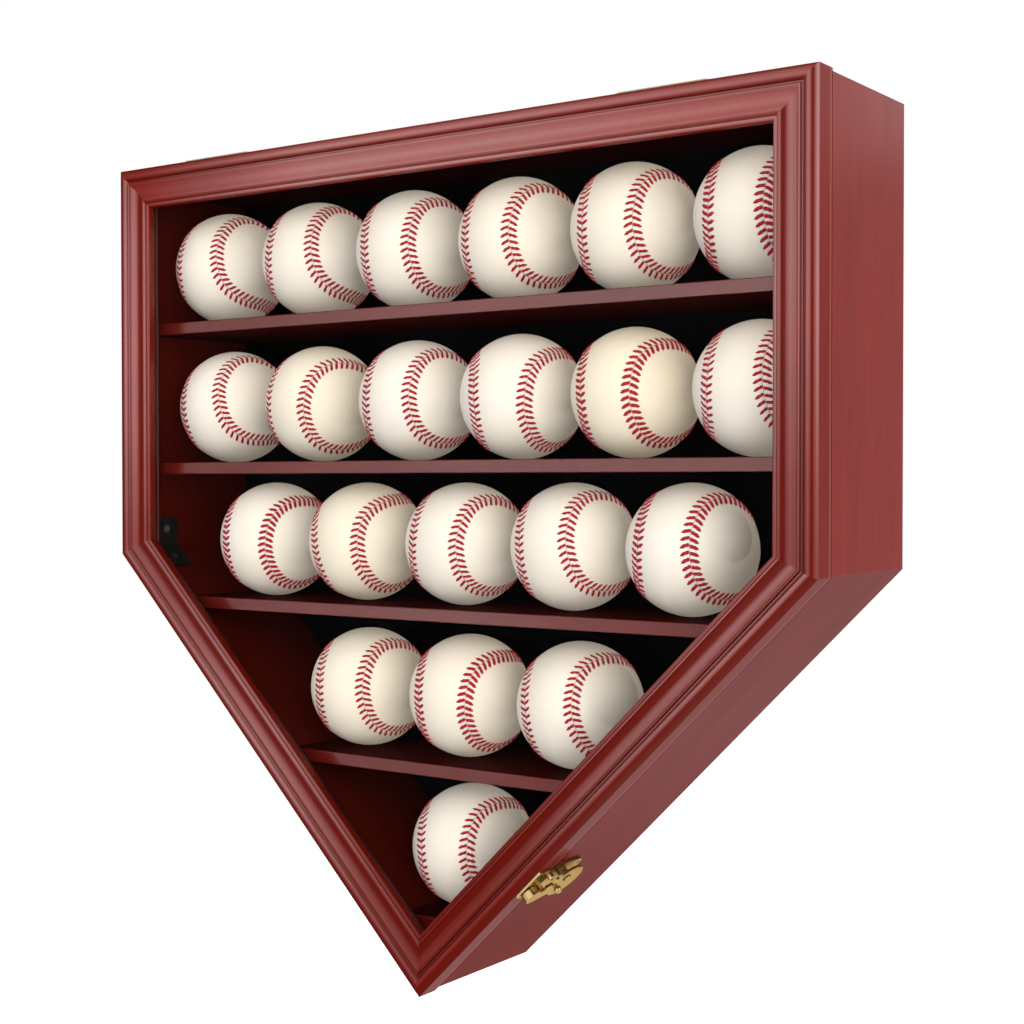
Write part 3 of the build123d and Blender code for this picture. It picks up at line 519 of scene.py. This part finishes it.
# at each distance in millimetres, the weight of the coat and of the painted pale pink sheen
glaze_across = {
    "top": [(0.6, 0.3, 0.0), (1.6, 0.8, 0.3), (2.6, 0.8, 0.72), (3.7, 0.9, 0.7), (4.6, 0.9, 0.35),
            (5.6, 0.7, 0.05), (6.8, 0.2, 0.0), (7.6, 0.3, 0.15), (8.2, 0.6, 0.4), (9.0, 0.3, 0.05),
            (9.9, 0.95, 0.4), (11.0, 0.9, 0.08), (13.0, 1.0, 0.2), (15.5, 0.95, 0.2), (18.5, 0.85, 0.05),
            (20.6, 1.0, 0.6), (21.3, 1.0, 0.5), (21.9, 0.4, 0.0), (22.5, 0.12, 0.0), (23.0, 1.0, 0.9),
            (24.1, 0.9, 0.4), (25.1, 0.3, 0.0)],
    "right": [(0.3, 1.0, 0.15), (0.9, 1.0, 0.25), (1.5, 1.0, 0.1), (2.1, 0.15, 0.0), (2.8, 0.05, 0.0),
              (3.6, 0.6, 0.0), (4.5, 1.0, 0.1), (5.2, 0.9, 0.0), (6.0, 0.25, 0.0), (6.8, 0.3, 0.1),
              (7.4, 0.3, 0.6), (8.5, 0.4, 0.35), (9.4, 0.3, 0.8), (9.9, 0.85, 0.6), (10.5, 0.85, 0.4),
              (12.2, 0.9, 0.5), (13.5, 0.9, 0.35), (14.7, 0.95, 0.1), (16.4, 0.9, 0.0), (17.6, 0.6, 0.05),
              (18.6, 0.12, 0.0), (20.5, 0.03, 0.0), (21.2, 1.0, 0.35), (22.2, 0.5, 0.0), (23.0, 1.0, 0.9),
              (24.2, 0.9, 0.2), (25.2, 0.5, 0.0)],
    "lower_right": [(0.5, 0.1, 0.2), (2.5, 0.05, 0.1), (3.6, 0.1, 0.0), (4.6, 0.7, 0.0), (5.6, 1.0, 0.1),
                    (6.3, 1.0, 0.7), (7.0, 0.5, 0.5), (7.6, 0.2, 0.15), (8.2, 0.7, 0.5), (9.3, 0.2, 0.2),
                    (10.2, 0.6, 0.1), (11.1, 0.9, 0.7), (12.9, 0.9, 0.75), (14.2, 0.85, 0.1),
                    (15.3, 0.75, 0.0), (16.4, 0.45, 0.0), (17.4, 0.1, 0.0), (21.2, 0.05, 0.0),
                    (21.9, 1.0, 0.15), (23.0, 0.6, 0.1), (24.0, 0.5, 0.0), (25.2, 0.4, 0.1)],
    "lower_left": [(2.5, 0.05, 0.0), (4.2, 0.1, 0.0), (5.2, 0.4, 0.0), (6.0, 0.9, 0.1), (6.8, 0.95, 0.75),
                   (7.5, 1.0, 1.0), (8.1, 0.6, 0.6), (8.7, 0.02, 0.0), (9.3, 0.7, 0.6), (9.9, 0.02, 0.0),
                   (10.5, 0.5, 0.0), (11.2, 1.0, 0.2), (12.9, 0.75, 0.0), (13.8, 0.65, 0.0),
                   (15.0, 0.3, 0.05), (16.3, 0.08, 0.0), (19.4, 0.05, 0.0), (20.1, 0.35, 0.0),
                   (20.8, 0.85, 0.15), (21.9, 0.9, 0.0), (22.5, 1.0, 0.6), (23.2, 0.8, 0.6), (23.8, 0.3, 0.0),
                   (24.4, 0.8, 0.0), (25.2, 0.3, 0.0)],
    "left": [(2.5, 0.05, 0.0), (4.6, 0.08, 0.0), (5.2, 0.3, 0.0), (6.0, 0.9, 0.15), (6.6, 1.0, 0.4),
             (7.5, 0.8, 0.65), (8.1, 0.8, 0.3), (8.7, 0.4, 0.0), (9.3, 0.6, 0.5), (9.9, 0.6, 0.2),
             (10.5, 0.3, 0.0), (11.2, 0.9, 0.0), (11.8, 1.0, 0.15), (13.2, 1.0, 0.08), (14.2, 0.75, 0.1),
             (15.4, 0.25, 0.0), (16.4, 0.05, 0.0), (19.2, 0.05, 0.0), (20.0, 0.4, 0.0), (20.8, 1.0, 0.2),
             (21.6, 0.95, 0.15), (22.4, 0.8, 0.2), (23.1, 1.0, 0.4), (23.7, 0.4, 0.0), (24.4, 0.6, 0.0),
             (25.0, 0.5, 0.0)],
}
print("stops across:", {side: len(stops) for side, stops in glaze_across.items()})

# %% Polish along the members
# from each member's start to its end, how much of that coat the cloth has polished, and where it
# differs, how much of the painted sheen it keeps
polish = {
    "top": [(0.04, 0.1), (0.2, 0.5), (0.34, 1.0), (0.65, 1.0), (0.8, 0.85), (0.95, 0.75)],
    "right": [(0.0, 0.95), (0.4, 1.0), (0.5, 0.93), (0.65, 0.72), (0.8, 0.5), (0.95, 0.4)],
    "lower_right": [(0.08, 1.0, 0.15), (0.2, 0.93, 0.25), (0.35, 0.72, 0.4), (0.5, 0.48, 0.48),
                    (0.65, 0.22, 0.22), (0.8, 0.12, 0.12)],
    "lower_left": [(0.05, 0.25), (0.2, 0.42), (0.35, 0.75), (0.5, 1.0), (0.65, 1.0), (0.85, 0.7)],
    "left": [(0.05, 0.4), (0.2, 0.65), (0.35, 0.9), (0.5, 1.0), (0.8, 1.0), (0.95, 0.75)],
}
print("stops along:", {side: len(stops) for side, stops in polish.items()})

# %% Lines on the outer side of the door
side_edge = (door_front + 0.0027, door_front + 0.0033)  # the moulding ends and the side begins
# where the painted highlight of the door's rounded back edge lies
edge_highlight_band = (case_front - 0.0036, case_front - 0.0030)
door_joint = (case_front - 0.0016, case_front - 0.0011)
outer_skin = (0.0003, 0.0006)  # inward from the outer edge, where the side has its end
print("door side", round((case_front - side_edge[1]) * 1000, 1), "mm deep")

# %% Glaze helpers


def brighter(colour, factor):
    """The colour, this many times as bright."""
    return (*(part * factor for part in colour[:3]), 1)


def ramp_over(tree, value, stops):
    """Two weights that follow a value from 0 to 1 through these (place, weight, weight) stops."""
    ramp = add(tree, "ValToRGB", {"Fac": value})
    elements = ramp.color_ramp.elements
    for _ in stops[2:]:
        elements.new(1.0)
    for element, (at, first, second) in zip(elements, stops):
        element.position = at
        element.color = (first, second, 0, 1)
    parts = add(tree, "SeparateColor", {"Color": ramp.outputs["Color"]}).outputs
    return parts["Red"], parts["Green"]


print("glaze helpers ready")

# %% Door members
for number, (side, turn) in enumerate(board_turns.items()):
    light, dark = (brighter(colour, stain_strength[side]) for colour in (door_light, door_dark))
    door_wood, tree, shader, place = cherry(f"cherry_door_{side}", turn, 1.3 + number, light, dark, 0.34)
    depth_in = distance_in(tree, place, side)
    depth_back = add(tree, "SeparateXYZ", {"Vector": place}).outputs["Y"]
    on_side = maths(tree, "MULTIPLY", stretch(tree, depth_back, *side_edge),
                    stretch(tree, depth_in, *outer_skin, 1.0, 0.0))
    on_moulding = maths(tree, "SUBTRACT", 1.0, on_side)
    joint = stretch(tree, depth_back, *door_joint)

    across_stops = [(at / moulding_width, *weights) for at, *weights in glaze_across[side]]
    share_across = stretch(tree, depth_in, 0.0, moulding_width / 1000)
    coat_across, painted_sheen = ramp_over(tree, share_across, across_stops)
    along_stops = [(at, shares[0], shares[-1]) for at, *shares in polish[side]]
    rubbed, sheen_along = ramp_over(tree, share_along(tree, place, side), along_stops)
    glaze = maths(tree, "MULTIPLY", coat_across, rubbed)
    coat = blend_colours(tree, on_side, glaze, (0.2, 0.2, 0.2, 1))
    feed(tree, shader, {"Coat Weight": blend_colours(tree, joint, coat, (0, 0, 0, 1))})

    # painted shade: the stain goes darker in the hollows, where the coat is thin
    kept = maths(tree, "MULTIPLY", coat_across, maths(tree, "MAXIMUM", rubbed, 0.45))
    hollow_shade_mask = stretch(tree, kept, 0.0, 0.8, 0.85, 0.0)
    repaint(tree, shader, maths(tree, "MULTIPLY", hollow_shade_mask, on_moulding), painted_hollow_shade)
    # painted sheen: a pale pink laid on the steep sides, as far along the member as it reaches
    sheen_mask = maths(tree, "MULTIPLY", painted_sheen, sheen_along)
    repaint(tree, shader, maths(tree, "MULTIPLY", sheen_mask, on_moulding), painted_sheen_pink)
    # painted highlight on the rounded back edge of the door
    repaint(tree, shader, stretch(tree, depth_back, *edge_highlight_band, 0.0, 0.3), painted_edge_highlight)
    repaint(tree, shader, maths(tree, "MULTIPLY", joint, 0.9), joint_dark)
    member = "stile" if side in ("left", "right") else "rail"
    dress([f"door_{side}_{member}"], door_wood)
print("door members dressed:", len(board_turns))

# %% [markdown]
# ## The shelves
# The shelves are the same wood, and their grain runs along the rows. Only their front edges are
# glossy, since the rest was hardly rubbed down. Each one gets its own shift of the pattern.

# %% Shelves
# the coat on each front edge, at three shares of the way from its left end to its right
coat_places = (0.1, 0.55, 0.95)
front_coats = {1: (0.35, 0.65, 0.75), 2: (0.30, 0.60, 0.62), 3: (0.32, 0.58, 0.28),
               4: (0.30, 0.36, 0.14), 5: (0.20, 0.16, 0.12)}
shelf_half = 0.2  # these shares are of a width that reaches this far to either side of the middle
for number, coats in front_coats.items():
    shelf_wood, tree, shader, place = cherry(f"shelf_finish_{number}", 0, 20.0 + number, shelf_light,
                                             shelf_dark, 0.36)
    shelf_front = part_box(f"shelf_{number}")[0].y
    spot = add(tree, "SeparateXYZ", {"Vector": place}).outputs
    gloss_end = (shelf_front + 0.0002, shelf_front + 0.0008)
    behind = stretch(tree, spot["Y"], *gloss_end)
    front_coat, _ = ramp_over(tree, stretch(tree, spot["X"], -shelf_half, shelf_half),
                              [(at, weight, 0) for at, weight in zip(coat_places, coats)])
    coat = blend_colours(tree, behind, front_coat, (0.04, 0.04, 0.04, 1))
    feed(tree, shader, {"Coat Weight": coat})
    # painted shade behind the front edge, where light hardly reaches the shelf
    repaint(tree, shader, maths(tree, "MULTIPLY", behind, 0.88), inner_shade)
    dress([f"shelf_{number}"], shelf_wood)
print("shelves dressed:", len(front_coats))

# %% [markdown]
# ## Brass
# Hinges and latch are lacquered brass: yellow metal with faint rolling lines, and duller patches
# where it has been touched. The latch is polished and dark with age. The hinges are paler and dull.

# %% Brass finish


def brass(name, roughness, rolling, fresh, touched):
    """Brass with its rolling lines squeezed by these amounts, and its two colours."""
    material, tree, shader, place = new_material(name)
    touch = use_group(tree, handling, {"Vector": place, "Roughness": roughness, "Amount": 0.14})
    tint = blend_colours(tree, stretch(tree, touch.outputs["Height"], 0.35, 0.7), fresh, touched)
    feed(tree, shader, {"Base Color": tint, "Roughness": touch.outputs["Roughness"]})
    bump(tree, shader, noise(tree, squeeze(tree, place, rolling), 1.0, 3, 0.6), 0.06, 0.0001)
    return material, tree, shader


latch_brass, tree, shader = brass("brass_finish", 0.24, (300, 2600, 300),
                                  (0.36, 0.26, 0.12, 1), (0.23, 0.155, 0.065, 1))
feed(tree, shader, {"Metallic": 1.0, "Specular Tint": (0.72, 0.60, 0.40, 1)})
hinge_brass, tree, shader = brass("dull_brass_finish", 0.50, (2600, 300, 300),
                                  (0.84, 0.76, 0.56, 1), (0.68, 0.57, 0.36, 1))
feed(tree, shader, {"Metallic": 0.7})
for beginning, finish in (("latch_", latch_brass), ("hinge_", hinge_brass)):
    names = [name for name in nodes if name.startswith(beginning)]
    dress(names, finish)
    print(beginning.strip("_"), "pieces:", len(names))

# %% [markdown]
# ## Steel, black strips and the back board
# The two corner brackets are painted matt black, the keyhole hangers and their screws are zinc
# plated, and the strips behind the pane are dull black plastic. The back is bare brown hardboard,
# pressed from fibres that lie every way.

# %% Black paint and black strips


def dull_black(name, roughness, amount, deep, worn, pits):
    """A dull black between two shades, with a bump of fine pits."""
    material, tree, shader, place = new_material(name)
    touch = use_group(tree, handling, {"Vector": place, "Roughness": roughness, "Amount": amount})
    tint = blend_colours(tree, touch.outputs["Height"], deep, worn)
    feed(tree, shader, {"Base Color": tint, "Roughness": touch.outputs["Roughness"]})
    scale, detail, strength = pits
    bump(tree, shader, noise(tree, place, scale, detail), strength, 0.0001)
    return material, tree, shader


black_paint, tree, shader = dull_black("black_paint", 0.6, 0.12, (0.004, 0.004, 0.004, 1),
                                       (0.009, 0.0085, 0.0085, 1), (1500.0, 2, 0.15))
feed(tree, shader, {"Specular IOR Level": 0.25})
dress(["corner_brackets"], black_paint)
strip_plastic, *_ = dull_black("strip_plastic", 0.45, 0.1, (0.006, 0.006, 0.006, 1),
                               (0.014, 0.014, 0.014, 1), (900.0, 3, 0.1))
dress(["pane_strips"], strip_plastic)
print("brackets painted, strips dressed")

# %% Zinc
zinc, tree, shader, place = new_material("zinc_finish")
touch = use_group(tree, handling, {"Vector": place, "Roughness": 0.34, "Amount": 0.16})
spangle = add(tree, "TexVoronoi", {"Vector": place, "Scale": 260.0}).outputs["Distance"]
tint = blend_colours(tree, stretch(tree, spangle, 0.1, 0.7),
                     (0.60, 0.61, 0.62, 1), (0.46, 0.47, 0.49, 1))
feed(tree, shader, {"Base Color": tint, "Roughness": touch.outputs["Roughness"], "Metallic": 1.0})
bump(tree, shader, noise(tree, place, 700.0, 2), 0.08, 0.0001)
zinc_names = ["hanger_plates", "hanger_screws", "bracket_screws", "back_brads"]
dress(zinc_names, zinc)
print("zinc pieces:", len(zinc_names))

# %% Hardboard
hardboard, tree, shader, place = new_material("hardboard_finish")
fibres = noise(tree, squeeze(tree, place, (260, 260, 520)), 1.0, 5, 0.7, 1.5)
clouds = noise(tree, place, 9.0, 3)
tint = blend_colours(tree, stretch(tree, fibres, 0.3, 0.7),
                     (0.34, 0.20, 0.105, 1), (0.20, 0.105, 0.052, 1))
tint = blend_colours(tree, stretch(tree, clouds, 0.3, 0.7, 0.0, 0.4), tint, (0.27, 0.17, 0.10, 1))
touch = use_group(tree, handling, {"Vector": place, "Roughness": 0.62, "Amount": 0.15})
feed(tree, shader, {"Base Color": tint, "Roughness": touch.outputs["Roughness"]})
bump(tree, shader, fibres, 0.25, 0.0003)
dress(["back_panel"], hardboard)
print("back dressed")

# %% [markdown]
# ## The clear pane
# The pane is polished acrylic. Light has to reach the balls through it, so it isn't a refracting
# block: it is nearly transparent, and only its gloss and the dust on it show.

# %% Pane
acrylic, tree, shader, place = new_material("acrylic_finish")
touch = use_group(tree, handling, {"Vector": place, "Roughness": 0.04, "Amount": 0.05})
feed(tree, shader, {
    "Base Color": (0.02, 0.022, 0.024, 1), "Roughness": touch.outputs["Roughness"],
    "Alpha": stretch(tree, touch.outputs["Height"], 0.3, 0.8, 0.003, 0.010),
})
dress(["door_pane"], acrylic)
print("pane dressed")

# %% [markdown]
# ## The felt lining
# A sheet of black felt is stretched over the back board behind the balls. It is a piece of cloth
# in the shape of the home plate, 1.5 mm thick, with a soft edge. Its corners are read from the box
# of the CAD solid, so that it always fills the same place. The nap is a fine bump, and the cloth is
# almost black and has no gloss.

# %% Felt sheet
felt_edge = 0.0005
low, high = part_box("felt_lining")
half_width = (high.x - low.x) / 2
shoulder = low.z + half_width
outline = [(low.x, high.z), (high.x, high.z), (high.x, shoulder), (0.0, low.z), (low.x, shoulder)]
bm = bmesh.new()
corners = [bm.verts.new((x, high.y, z)) for x, z in outline]
sheet_face = bm.faces.new(corners)
grown = bmesh.ops.extrude_face_region(bm, geom=[sheet_face])
raised = [v for v in grown["geom"] if isinstance(v, bmesh.types.BMVert)]
bmesh.ops.translate(bm, verts=raised, vec=(0, low.y - high.y, 0))
bmesh.ops.recalc_face_normals(bm, faces=bm.faces)
rim = [e for e in bm.edges if all(abs(v.co.y - low.y) < 1e-6 for v in e.verts)]
bmesh.ops.bevel(bm, geom=rim, offset=felt_edge, affect="EDGES", segments=2, profile=0.5, material=-1)
felt = show(mesh_from(bm, "felt_sheet"))
print("felt corners:", len(outline))

# %% Felt finish
felt_black, tree, shader, place = new_material("felt_finish")
nap = noise(tree, place, 4200.0, 2, 0.5)
rub = noise(tree, place, 18.0, 3)
tint = blend_colours(tree, nap, (0.0014, 0.0014, 0.0015, 1), (0.0030, 0.0030, 0.0031, 1))
tint = blend_colours(tree, stretch(tree, rub, 0.4, 0.7, 0.0, 0.4), tint, (0.0038, 0.0036, 0.0036, 1))
feed(tree, shader, {
    "Base Color": tint, "Roughness": stretch(tree, nap, 0.2, 0.8, 0.9, 1.0), "Specular IOR Level": 0.0,
})
bump(tree, shader, nap, 0.2, 0.0001)
felt.data.materials.append(felt_black)
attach(felt, "cabinet")
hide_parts("felt_lining")

# %% [markdown]
# ## The seam of a baseball
# A ball is covered by two equal pieces of leather, each shaped like a figure of eight, and one
# closed seam runs between them. A formula with one number for the width of the waist gives a line
# on the sphere that is very close to the real seam. From it come evenly spaced stations, each with
# its point, its direction, and the direction across the seam.

# %% Seam stations
ball_radius = 0.0368
waist = 0.44
stitch_count = 108


def seam_point(turn):
    """A point of the seam on the unit sphere, for a turn from 0 to 4 pi."""
    polar = pi / 2 - (pi / 2 - waist) * cos(turn)
    round_angle = turn / 2 + waist * sin(2 * turn)
    return Vector((sin(polar) * cos(round_angle), sin(polar) * sin(round_angle), cos(polar)))


fine_count = 40 * stitch_count
fine = [seam_point(4 * pi * step / fine_count) for step in range(fine_count)]
gaps = [(fine[(step + 1) % fine_count] - point).length for step, point in enumerate(fine)]


def heading_at(step):
    """The direction of the seam at this step of the fine line."""
    return (fine[(step + 1) % fine_count] - fine[step - 1]).normalized()


seam_length = sum(gaps)
stations = []
run = 0.0
for step, gap in enumerate(gaps):
    if run >= seam_length * len(stations) / stitch_count and len(stations) < stitch_count:
        point, heading = fine[step], heading_at(step)
        stations.append((point, heading, point.cross(heading)))
    run += gap
print("seam", round(seam_length * ball_radius * 1000), "mm,", len(stations), "stations")

# %% [markdown]
# ## The leather
# The ball starts as an icosphere, because its faces are even all over and it has no poles. Each
# point is then moved a little: the leather rises in two low lips beside the seam and dips between
# them. The signed distance to the seam is stored on every point, below zero on one piece of
# leather and above on the other, so the material can draw the fine line of the seam and the shade
# beside it where the mesh alone would be too coarse.

# %% Ball mesh
lip_height, lip_place, lip_width = 0.42, 1.9, 1.2  # in millimetres, the place from the seam outward
dip_depth, dip_width = 0.30, 0.7
nearest = KDTree(fine_count)
for step, point in enumerate(fine):
    nearest.insert(point, step)
nearest.balance()
bm = bmesh.new()
bmesh.ops.create_icosphere(bm, subdivisions=6, radius=1.0)
distances = []
for vert in bm.verts:
    unit = vert.co.normalized()
    point, step, _ = nearest.find(unit)
    across = (unit - point).dot(point.cross(heading_at(step)))
    gap = (unit - point).length * ball_radius * 1000
    distances.append(gap if across > 0 else -gap)
    lips = lip_height * exp(-((gap - lip_place) / lip_width) ** 2)
    dip = dip_depth * exp(-(gap / dip_width) ** 2)
    vert.co = unit * (ball_radius + (lips - dip) / 1000)
ball_leather = mesh_from(bm, "ball_leather", smooth=True)
ball_leather.attributes.new("seam", "FLOAT", "POINT").data.foreach_set("value", distances)
print("leather:", len(ball_leather.polygons), "faces")

# %% [markdown]
# ## The stitches
# Waxed red thread crosses the seam in chevrons: at each station one thread on either side runs from
# the seam outward and back along it to its hole. Each thread is a small bmesh sphere, drawn out along
# the leather, full at the seam and pointed at its hole. There are 216 on a ball, so each has
# only a few dozen faces. Two widths serve, since some of the balls are sewn with a bolder thread.

# %% Stitch mesh
thread_reach = 0.0050  # outward from the seam
thread_slant = 0.0022  # and back along it
thread_clear = 0.0001  # left bare on either side of the seam
thread_stagger = 0.0004  # one row runs ahead by this and the other behind
thread_lift = 0.00015  # its middle above the leather
thread_height = 0.42  # as a share of its width
seam_swell, hole_taper = 0.6, -0.4  # how much thicker it is at the seam, and at its hole


def stitch_mesh(thread_width):
    """All the threads of one ball, this wide, as one mesh."""
    bm = bmesh.new()
    half = sqrt(thread_reach ** 2 + thread_slant ** 2) / 2
    poles_along_thread = Matrix.Rotation(pi / 2, 4, "Y")
    for point, heading, across in stations:
        for side in (-1, 1):
            line = (across * side * thread_reach - heading * thread_slant).normalized()
            shift = across * (thread_reach / 2 + thread_clear) + heading * thread_stagger
            up = (point * ball_radius + side * shift).normalized()
            centre = up * (ball_radius + thread_lift)
            line = (line - up * line.dot(up)).normalized()
            axes = Matrix((line * half, up.cross(line) * thread_width, up * thread_width * thread_height))
            place = Matrix.Translation(centre) @ axes.transposed().to_4x4() @ poles_along_thread
            made = bmesh.ops.create_uvsphere(bm, u_segments=6, v_segments=7, radius=1.0, matrix=place)
            for vert in made["verts"]:
                reach = (vert.co - centre).dot(line)
                outward = vert.co - centre - line * reach
                vert.co += outward * (seam_swell if reach < 0 else hole_taper) * (reach / half) ** 2
    bmesh.ops.recalc_face_normals(bm, faces=bm.faces)
    return mesh_from(bm, "ball_stitches", smooth=True)


stitches = {"fine": stitch_mesh(0.00100), "bold": stitch_mesh(0.00115)}
print("stitches:", stitch_count * 2, "threads,", len(stitches["fine"].polygons), "faces")

# %% [markdown]
# ## Leather and thread finishes
# The leather is cream with slow warm blotches, a fine pebble, and a satin wax. It yellows with age,
# which is a number on each ball's points. Close to the seam it is painted a little darker, as the shade of
# the groove there and the dirt that gathers, and the seam itself is a thin dark line. The thread is crimson
# with a light twist along it.

# %% Leather finish
leather, tree, shader, place = new_material("leather_finish")
seam = add(tree, "Attribute", attribute_name="seam").outputs["Fac"]
off_seam = maths(tree, "ABSOLUTE", seam, 0.0)
blotch = noise(tree, place, 22.0, 4, 0.6, 0.5)
pebble = noise(tree, place, 900.0, 3, 0.6)
base = blend_colours(tree, stretch(tree, blotch, 0.32, 0.68), (0.510, 0.487, 0.462, 1),
                     (0.495, 0.462, 0.420, 1))
age = add(tree, "Attribute", attribute_name="age").outputs["Fac"]
base = blend_colours(tree, maths(tree, "MULTIPLY", age, 0.6), base, (0.51, 0.445, 0.32, 1))
# painted shade of the seam's groove, together with dirt: a little darker close to the seam
seam_shade_and_dirt = stretch(tree, off_seam, 0.4, 5.0, 0.22, 0.0)
base = blend_colours(tree, seam_shade_and_dirt, base, (0.40, 0.335, 0.29, 1))
slit = stretch(tree, off_seam, 0.08, 0.28, 0.8, 0.0)
base = blend_colours(tree, slit, base, (0.16, 0.04, 0.035, 1))
touch = use_group(tree, handling, {"Vector": place, "Roughness": 0.42, "Amount": 0.12})
feed(tree, shader, {
    "Base Color": base, "Roughness": touch.outputs["Roughness"], "Specular IOR Level": 0.2,
})
bump(tree, shader, pebble, 0.12, 0.0002)
print("leather finish:", len(tree.nodes), "nodes")

# %% Thread finish
thread, tree, shader, place = new_material("thread_finish")
twist = add(tree, "TexWave", {"Vector": place, "Scale": 700.0, "Distortion": 2.0}).outputs["Fac"]
fade = noise(tree, place, 60.0, 3)
tint = blend_colours(tree, twist, (0.25, 0.0070, 0.023, 1), (0.18, 0.0048, 0.015, 1))
tint = blend_colours(tree, stretch(tree, fade, 0.4, 0.7, 0.0, 0.35), tint, (0.16, 0.005, 0.014, 1))
feed(tree, shader, {"Base Color": tint, "Roughness": 0.6, "Specular IOR Level": 0.15})
bump(tree, shader, twist, 0.3, 0.0001)
print("thread finish ready")

# %% [markdown]
# ## Twenty-one balls
# Every ball is the same leather and thread, turned by hand before it was set on its shelf. Each
# one is a copy of the two meshes, turned in the mesh itself, and put at the middle of its CAD
# sphere. The waist of the seam faces the door. Three numbers per ball say how far it turns to the
# side, leans and nods, in degrees, and the sign says which way up the chevrons point.

# %% Place the balls
ball_turns = {
    1: [(3, 0, -25, 1), (7, 0, -24, 1), (6, 0, 1, 1), (-1, 1, -3, -1), (3, 1, -1, 1), (2, 1, -3, 1)],
    2: [(2, -6, -13, 1), (-3, 5, 3, 1), (4, 1, -7, 1), (11, 1, 17, -1), (0, 0, 9, 1), (2, -1, -15, 1)],
    3: [(6, 1, 11, 1), (4, -4, 22, 1), (2, 3, -6, 1), (1, -5, -6, 1), (1, 1, -12, 1)],
    4: [(8, -2, -5, 1), (6, 0, 12, 1), (0, -6, 3, 1)],
    5: [(5, -5, 5, 1)],
}
bold_balls = {"baseball_2_5", "baseball_3_1", "baseball_3_5", "baseball_4_2", "baseball_1_6"}
usual_age = 0.15
ball_ages = {"baseball_2_5": 0.9, "baseball_2_2": 0.6, "baseball_3_2": 0.7, "baseball_4_1": 0.5,
             "baseball_4_2": 0.4, "baseball_1_4": 0.35, "baseball_1_5": 0.35}
facing_door = Matrix(((1, 0, 0), (0, 0, -1), (0, 1, 0)))
for row, turns in ball_turns.items():
    for column, (turn, lean, nod, way_up) in enumerate(turns, 1):
        name = f"baseball_{row}_{column}"
        low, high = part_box(name)
        flip = Matrix.Rotation(0 if way_up > 0 else pi, 3, "Y")
        pose = Matrix.Rotation(radians(turn), 3, "Z") @ Matrix.Rotation(radians(lean), 3, "Y")
        pose = pose @ Matrix.Rotation(radians(nod), 3, "X") @ flip @ facing_door
        place_on_shelf = Matrix.Translation((low + high) / 2) @ pose.to_4x4()
        sewn = stitches["bold" if name in bold_balls else "fine"]
        for source, label, finish in ((ball_leather, "leather", leather), (sewn, "stitches", thread)):
            mesh = source.copy()
            mesh.name = f"{label}_{row}_{column}"
            mesh.transform(place_on_shelf)
            mesh.materials.append(finish)
            piece = show(mesh, ball_collection)
            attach(piece, "cabinet")
            if label == "leather":
                years = [ball_ages.get(name, usual_age)] * len(mesh.vertices)
                mesh.attributes.new("age", "FLOAT", "POINT").data.foreach_set("value", years)
            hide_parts(name)
print("balls:", sum(len(turns) for turns in ball_turns.values()))
